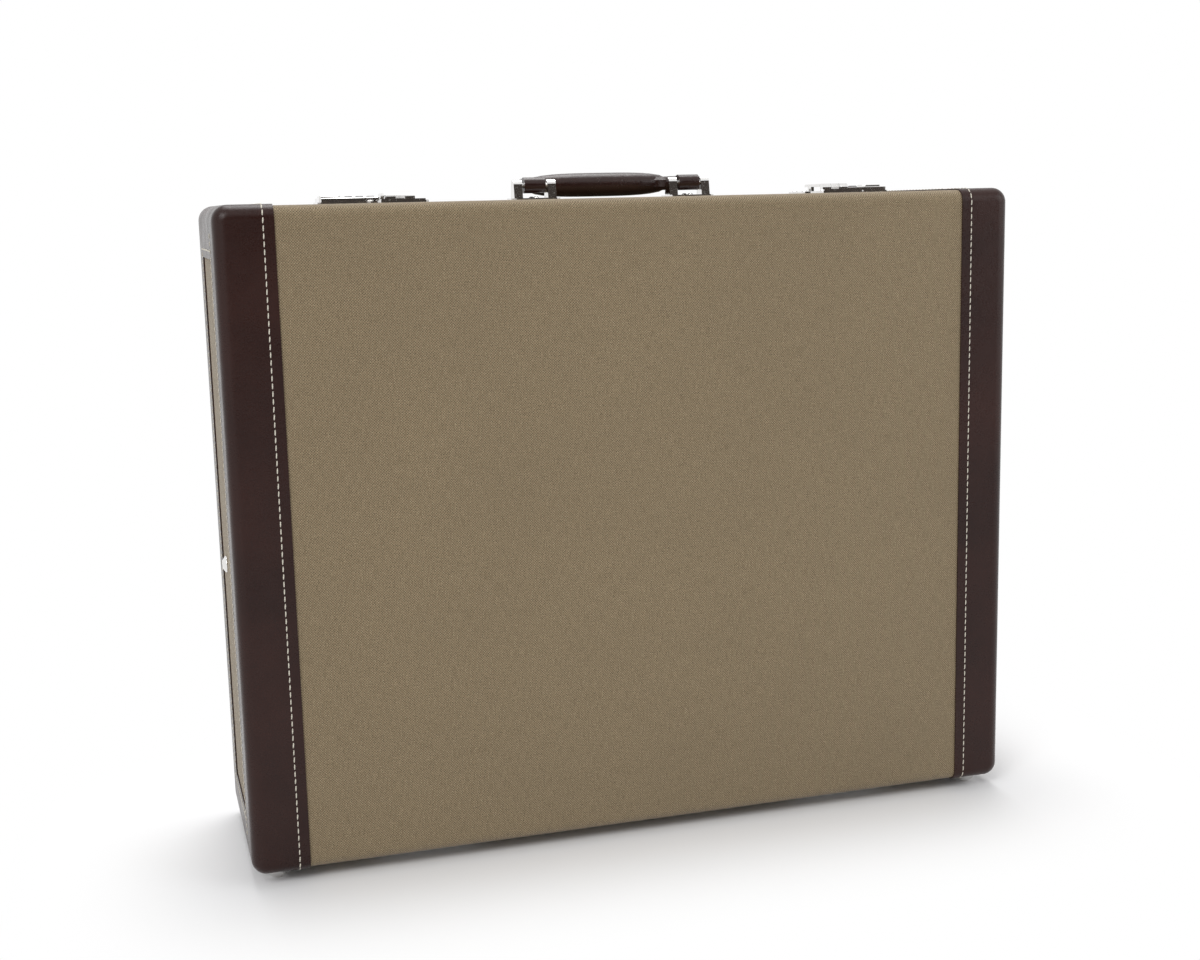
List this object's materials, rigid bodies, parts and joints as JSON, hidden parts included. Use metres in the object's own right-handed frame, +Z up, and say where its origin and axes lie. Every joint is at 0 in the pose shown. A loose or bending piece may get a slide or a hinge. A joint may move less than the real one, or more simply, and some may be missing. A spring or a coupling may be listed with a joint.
{
  "type": "microphone flight case",
  "caption": "Tweed and leather hard case on its hinge side, with hasp combination locks, folding handle, lid stays and fitted foam compartments",
  "frame": {"origin": "on the floor plane under the centre of the case, which stands on its four feet", "axes": "+X along the width to the viewer's right, +Y from the lid at the front to the base at the back, +Z up towards the handle"},
  "size_m": [0.4654, 0.129, 0.3864],
  "materials": {
    "tweed": "woven brown and tan tweed",
    "case_leather": "dark brown, waxed",
    "handle_leather": "brown, padded",
    "plywood": "bare plywood",
    "rim_aluminium": "satin",
    "lining_cloth": "dark flock",
    "foam": "open-cell charcoal foam",
    "chrome_steel": "polished",
    "dial_metal": "black, numbered",
    "steel": "zinc plated"
  },
  "bodies": {
    "base": {"base_shell": "plywood", "base_tweed": "tweed", "base_leather_left": "case_leather", "base_leather_right": "case_leather", "base_frame": "rim_aluminium", "base_lining": "lining_cloth", "base_foam": "foam", "base_foam_pad": "foam", "base_hinge_leaves": "chrome_steel", "hinge_pins": "steel", "base_feet": "chrome_steel", "lock_plate_left": "chrome_steel", "lock_plate_right": "chrome_steel", "lock_cover_left": "chrome_steel", "lock_cover_right": "chrome_steel", "lock_box_left": "steel", "lock_box_right": "steel", "dial_shafts": "steel", "lock_rivets": "chrome_steel", "handle_bracket_left": "chrome_steel", "handle_bracket_right": "chrome_steel", "handle_pins": "chrome_steel", "bracket_rivets": "chrome_steel", "base_stay_pins": "chrome_steel"},
    "lid": {"lid_shell": "plywood", "lid_tweed": "tweed", "lid_leather_left": "case_leather", "lid_leather_right": "case_leather", "lid_frame": "rim_aluminium", "lid_lining": "lining_cloth", "lid_foam": "foam", "lid_hinge_leaves": "chrome_steel", "lid_feet": "chrome_steel", "hasp_plate_left": "chrome_steel", "hasp_plate_right": "chrome_steel", "hasp_pins": "chrome_steel", "hasp_rivets": "chrome_steel", "lid_stay_pins": "chrome_steel"},
    "handle": {"handle_grip": "handle_leather", "handle_core": "steel", "handle_ends": "handle_leather"},
    "hasp_left": {"hasp_left": "chrome_steel"},
    "slide_left": {"slide_button_left": "chrome_steel", "lock_bolt_left": "chrome_steel"},
    "dial_left_1": {"dial_left_1": "dial_metal"},
    "dial_left_2": {"dial_left_2": "dial_metal"},
    "dial_left_3": {"dial_left_3": "dial_metal"},
    "stay_base_left": {"stay_base_link_left": "steel", "knee_rivet_left": "steel"},
    "stay_lid_left": {"stay_lid_link_left": "steel"},
    "hasp_right": {"hasp_right": "chrome_steel"},
    "slide_right": {"slide_button_right": "chrome_steel", "lock_bolt_right": "chrome_steel"},
    "dial_right_1": {"dial_right_1": "dial_metal"},
    "dial_right_2": {"dial_right_2": "dial_metal"},
    "dial_right_3": {"dial_right_3": "dial_metal"},
    "stay_base_right": {"stay_base_link_right": "steel", "knee_rivet_right": "steel"},
    "stay_lid_right": {"stay_lid_link_right": "steel"}
  },
  "joints": [
    {"name": "lid_hinge", "type": "hinge", "parent": "base", "child": "lid", "pos_m": [0, -0.033, 0.0053], "axis": [1, 0, 0], "range_deg": [0, 95]},
    {"name": "handle_swing", "type": "hinge", "parent": "base", "child": "handle", "pos_m": [0, -0.0117, 0.3794], "axis": [1, 0, 0], "range_deg": [0, 180]},
    {"name": "hasp_left_swing", "type": "hinge", "parent": "lid", "child": "hasp_left", "pos_m": [-0.129, -0.038, 0.3746], "axis": [1, 0, 0], "range_deg": [0, 110]},
    {"name": "slide_left_travel", "type": "slide", "parent": "base", "child": "slide_left", "axis": [1, 0, 0], "range_m": [0, 0.0028]},
    {"name": "dial_left_1_turn", "type": "hinge", "parent": "base", "child": "dial_left_1", "pos_m": [-0.141, -0.0127, 0.3698], "axis": [1, 0, 0], "continuous": true},
    {"name": "dial_left_2_turn", "type": "hinge", "parent": "base", "child": "dial_left_2", "pos_m": [-0.14715, -0.0127, 0.3698], "axis": [1, 0, 0], "continuous": true},
    {"name": "dial_left_3_turn", "type": "hinge", "parent": "base", "child": "dial_left_3", "pos_m": [-0.1533, -0.0127, 0.3698], "axis": [1, 0, 0], "continuous": true},
    {"name": "stay_base_left_turn", "type": "hinge", "parent": "base", "child": "stay_base_left", "pos_m": [-0.222, 0.0063, 0.16957], "axis": [1, 0, 0], "range_deg": [0, 95]},
    {"name": "stay_lid_left_turn", "type": "hinge", "parent": "lid", "child": "stay_lid_left", "pos_m": [-0.22, -0.047, 0.17363], "axis": [1, 0, 0], "range_deg": [-95, 0]},
    {"name": "hasp_right_swing", "type": "hinge", "parent": "lid", "child": "hasp_right", "pos_m": [0.129, -0.038, 0.3746], "axis": [1, 0, 0], "range_deg": [0, 110]},
    {"name": "slide_right_travel", "type": "slide", "parent": "base", "child": "slide_right", "axis": [-1, 0, 0], "range_m": [0, 0.0028]},
    {"name": "dial_right_1_turn", "type": "hinge", "parent": "base", "child": "dial_right_1", "pos_m": [0.141, -0.0127, 0.3698], "axis": [1, 0, 0], "continuous": true},
    {"name": "dial_right_2_turn", "type": "hinge", "parent": "base", "child": "dial_right_2", "pos_m": [0.14715, -0.0127, 0.3698], "axis": [1, 0, 0], "continuous": true},
    {"name": "dial_right_3_turn", "type": "hinge", "parent": "base", "child": "dial_right_3", "pos_m": [0.1533, -0.0127, 0.3698], "axis": [1, 0, 0], "continuous": true},
    {"name": "stay_base_right_turn", "type": "hinge", "parent": "base", "child": "stay_base_right", "pos_m": [0.222, 0.0063, 0.16957], "axis": [1, 0, 0], "range_deg": [0, 95]},
    {"name": "stay_lid_right_turn", "type": "hinge", "parent": "lid", "child": "stay_lid_right", "pos_m": [0.22, -0.047, 0.17363], "axis": [1, 0, 0], "range_deg": [-95, 0]}
  ],
  "couplings": [
    {"joint": "stay_base_left_turn", "follows": "lid_hinge", "ratio": 1},
    {"joint": "stay_lid_left_turn", "follows": "lid_hinge", "ratio": -1},
    {"joint": "stay_base_right_turn", "follows": "lid_hinge", "ratio": 1},
    {"joint": "stay_lid_right_turn", "follows": "lid_hinge", "ratio": -1}
  ]
}
